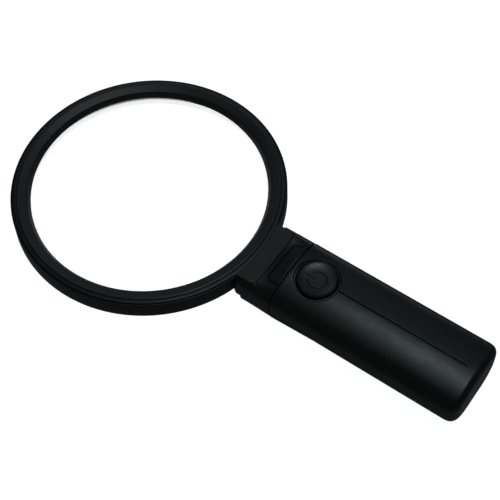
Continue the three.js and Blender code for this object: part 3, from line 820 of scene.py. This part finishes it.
def moulded(name, dark, light, rough, grain, depth):
    """Moulded plastic: fine spark grain, cloudy tone and gloss, and slightly polished raised edges whose
    polish is a painted sheen, a lighter base colour on rubbed edges.
    """
    made, tree, shader = start_material(name)
    cloud = noise(tree, 45.0, 3.0)
    fine = noise(tree, grain, 2.0)
    rub = noise(tree, 260.0, 4.0, (1.0, 5.0, 5.0))
    edge = spread(tree, node(tree, "NewGeometry").outputs["Pointiness"], 0.0, 1.0, 0.515, 0.56)
    # painted sheen: raised edges, streaked by rubbing, get a lighter base colour (1.5 times the light tone)
    # where real polish would only shine
    wear_and_sheen_mask = calculate(tree, "MULTIPLY", edge, spread(tree, rub, 0.2, 1.0))
    tone = blend(tree, spread(tree, cloud, 0.0, 1.0), dark, light)
    painted_edge_sheen = tuple(min(1.0, c * 1.5) for c in light)
    tree.links.new(blend(tree, wear_and_sheen_mask, tone, painted_edge_sheen), shader.inputs["Base Color"])
    base = spread(tree, cloud, rough - 0.03, rough + 0.03)
    gloss = calculate(tree, "ADD", base, spread(tree, rub, -0.02, 0.02))
    tree.links.new(gloss, shader.inputs["Roughness"])
    bump = node(tree, "Bump", Strength=0.5, Distance=depth, Height=fine)
    tree.links.new(bump.outputs["Normal"], shader.inputs["Normal"])
    return made


def metal(name, dark, light, rough, stretch):
    """Drawn or plated metal with fine lines along one direction."""
    made, tree, shader = start_material(name, Metallic=1.0)
    lines = noise(tree, 900.0, 3.0, stretch)
    stain = noise(tree, 120.0, 2.0)
    tree.links.new(blend(tree, stain, dark, light), shader.inputs["Base Color"])
    tree.links.new(spread(tree, lines, rough - 0.06, rough + 0.08), shader.inputs["Roughness"])
    bump = node(tree, "Bump", Strength=0.3, Distance=0.00002, Height=lines)
    tree.links.new(bump.outputs["Normal"], shader.inputs["Normal"])
    return made


def clear_acrylic():
    """Clear lens plastic with faint smears."""
    made, tree, shader = start_material("clear_acrylic", Transmission_Weight=1.0, IOR=1.49, Alpha=0.25)
    smear = noise(tree, 60.0, 4.0)
    tree.links.new(spread(tree, smear, 0.01, 0.035), shader.inputs["Roughness"])
    tree.links.new(blend(tree, smear, (0.985, 0.99, 0.99), (1.0, 1.0, 1.0)), shader.inputs["Base Color"])
    bump = node(tree, "Bump", Strength=0.02, Distance=0.00001, Height=noise(tree, 200.0))
    tree.links.new(bump.outputs["Normal"], shader.inputs["Normal"])
    return made


def circuit_board():
    """Green board with a pattern of paler tracks."""
    made, tree, shader = start_material("circuit_board")
    place = node(tree, "Mapping", Vector=node(tree, "TexCoord").outputs["Object"], Scale=(1, 1, 0.01))
    tracks = node(tree, "TexBrick", Vector=place.outputs["Vector"], Scale=260.0).outputs["Fac"]
    cloud = noise(tree, 300.0)
    base = blend(tree, cloud, (0.012, 0.075, 0.03), (0.02, 0.11, 0.045))
    tree.links.new(blend(tree, tracks, base, (0.04, 0.19, 0.07)), shader.inputs["Base Color"])
    tree.links.new(spread(tree, cloud, 0.3, 0.42), shader.inputs["Roughness"])
    bump = node(tree, "Bump", Strength=0.4, Distance=0.00004, Height=tracks)
    tree.links.new(bump.outputs["Normal"], shader.inputs["Normal"])
    return made


def cell_can():
    """Plain sleeve: grey, with a copper-coloured band at one end."""
    made, tree, shader = start_material("cell_can", Metallic=0.6)
    place = node(tree, "SeparateXYZ", Vector=node(tree, "TexCoord").outputs["Object"])
    band_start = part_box("battery_1")[1][0] - 14.5 * MM
    band = spread(tree, place.outputs["X"], 0.0, 1.0, band_start, band_start + 0.5 * MM)
    fine = noise(tree, 500.0, 3.0)
    sleeve = blend(tree, fine, (0.10, 0.12, 0.14), (0.13, 0.15, 0.17))
    tree.links.new(blend(tree, band, sleeve, (0.42, 0.19, 0.07)), shader.inputs["Base Color"])
    tree.links.new(spread(tree, fine, 0.22, 0.34), shader.inputs["Roughness"])
    bump = node(tree, "Bump", Strength=0.2, Distance=0.00003, Height=fine)
    tree.links.new(bump.outputs["Normal"], shader.inputs["Normal"])
    return made


MATERIALS = {
    "satin_black": moulded("satin_black", (0.0060, 0.0063, 0.0065), (0.0088, 0.0091, 0.0093), 0.32, 3200.0,
                           0.00004),
    "inner_black": moulded("inner_black", (0.016, 0.016, 0.017), (0.022, 0.022, 0.023), 0.58, 2400.0,
                           0.00006),
    "chip_black": moulded("chip_black", (0.012, 0.012, 0.014), (0.02, 0.02, 0.022), 0.35, 3000.0, 0.00003),
    "wire_red": moulded("wire_red", (0.32, 0.02, 0.015), (0.42, 0.03, 0.02), 0.4, 1500.0, 0.00002),
    "wire_black": moulded("wire_black", (0.012, 0.012, 0.012), (0.02, 0.02, 0.02), 0.4, 1500.0, 0.00002),
    "led_phosphor": moulded("led_phosphor", (0.72, 0.60, 0.16), (0.85, 0.76, 0.30), 0.3, 4000.0, 0.00002),
    "spring_steel": metal("spring_steel", (0.46, 0.47, 0.48), (0.62, 0.62, 0.62), 0.3, (1, 8, 8)),
    "gold_contact": metal("gold_contact", (0.62, 0.42, 0.14), (0.78, 0.58, 0.24), 0.26, (8, 1, 1)),
    "clear_acrylic": clear_acrylic(),
    "circuit_board": circuit_board(),
    "cell_can": cell_can(),
}


def dress_cad_nodes():
    """Gives every CAD node the material of its slot in the record."""
    for row in frame["record"]["subparts"]:
        slots = frame["nodes"][row["node"]].material_slots
        mesh = frame["nodes"][row["node"]].data
        if not slots:
            mesh.materials.append(MATERIALS[row["material_slot"]])
        for entry in slots:
            entry.material = MATERIALS[row["material_slot"]]


# ---------------------------------------------------------------- studio
FLOOR_GLOW = 1.06
FLOOR_Z = -0.0002                # just clear of the flat back of the handle
AMBIENT = 0.066
COOL = (0.84, 1.0, 1.0)
LIGHTS = {  # place, size and watts of the soft lights
    "key": ((-0.12, 0.36, 1.45), 0.20, 1.15),
    "overhead": ((0.0, 0.15, 1.49), 0.40, 0.55),
    "left": ((-0.75, 0.72, 1.08), 0.40, 0.36),
    "back": ((-0.24, 1.02, 1.07), 0.40, 0.1),
    "horizon": ((-0.39, 1.43, 0.21), 0.60, 0.4),
}


def studio():
    """Pale glowing table that the black plastic doesn't mirror, round soft lights and a dim room."""
    reach = 4.0
    corners = [(x * reach, y * reach, FLOOR_Z) for x, y in ((-1, -1), (1, -1), (1, 1), (-1, 1))]
    floor = raw("floor", corners, [(0, 1, 2, 3)])
    made, tree, shader = start_material("floor", Roughness=0.9)
    shader.inputs["Specular IOR Level"].default_value = 0.0
    shader.inputs["Emission Strength"].default_value = FLOOR_GLOW
    pale = blend(tree, noise(tree, 3.0), (0.9, 0.9, 0.9), (0.92, 0.92, 0.92))
    tree.links.new(pale, shader.inputs["Base Color"])
    tree.links.new(pale, shader.inputs["Emission Color"])
    floor.data.materials.append(made)
    floor.visible_glossy = False
    floor.visible_diffuse = False
    world = bpy.data.worlds.new("studio")
    bpy.context.scene.world = world
    world.use_nodes = True
    world.node_tree.nodes["Background"].inputs["Color"].default_value = (*COOL, 1)
    world.node_tree.nodes["Background"].inputs["Strength"].default_value = AMBIENT
    for name, (place, size, watts) in LIGHTS.items():
        soft_light(name, place, size, watts)
    bpy.context.scene.view_settings.view_transform = "Standard"


def soft_light(name, place, size, watts):
    """Disc light aimed at the middle of the object."""
    data = bpy.data.lights.new(name, "AREA")
    data.shape = "DISK"
    data.size = size
    data.energy = watts
    data.color = COOL
    lamp = bpy.data.objects.new(name, data)
    lamp.matrix_world = facing(Vector(place), Vector((0, 0, 0)))
    bpy.context.scene.collection.objects.link(lamp)


def facing(place, target):
    """Matrix of something at place that looks at target."""
    return Matrix.Translation(place) @ (target - place).to_track_quat("-Z", "Y").to_matrix().to_4x4()


def camera():
    """Camera at CAMERA's angles and distance from its aim point."""
    azimuth = math.radians(CAMERA["azimuth"])
    elevation = math.radians(CAMERA["elevation"])
    ahead = Vector((-math.sin(azimuth) * math.cos(elevation), math.cos(azimuth) * math.cos(elevation),
                    -math.sin(elevation)))
    side = Vector((math.cos(azimuth), math.sin(azimuth), 0))
    up = side.cross(ahead)
    turn = Matrix((side, up, -ahead)).transposed().to_4x4()
    data = bpy.data.cameras.new("camera")
    data.lens = CAMERA["lens"]
    data.clip_start = 0.01
    eye = bpy.data.objects.new("camera", data)
    aim = ORIGIN + Vector(CAMERA["aim"]) * MM
    place = Matrix.Translation(aim - ahead * CAMERA["distance"])
    eye.matrix_world = place @ turn @ Matrix.Rotation(math.radians(CAMERA["roll"]), 4, "Z")
    bpy.context.scene.collection.objects.link(eye)
    bpy.context.scene.camera = eye


# ---------------------------------------------------------------- assembly
camera()
studio()
dress_cad_nodes()
for name, body, slot, make in (
        ("bezel", "head", "satin_black", bezel),
        ("head_frame", "head", "satin_black", head_frame),
        ("lens", "head", "clear_acrylic", lens),
        ("upper_shell", "handle", "satin_black", upper_shell),
        ("lower_shell", "handle", "satin_black", lower_shell),
        ("battery_cover", "cover", "satin_black", battery_cover),
        ("release_tab", "release", "satin_black", release_tab),
        ("button_cap", "button", "satin_black", button_cap)):
    piece(make(), name + "_fine", body, slot, name)
coil_spring("button_spring")
coil_spring("release_spring")
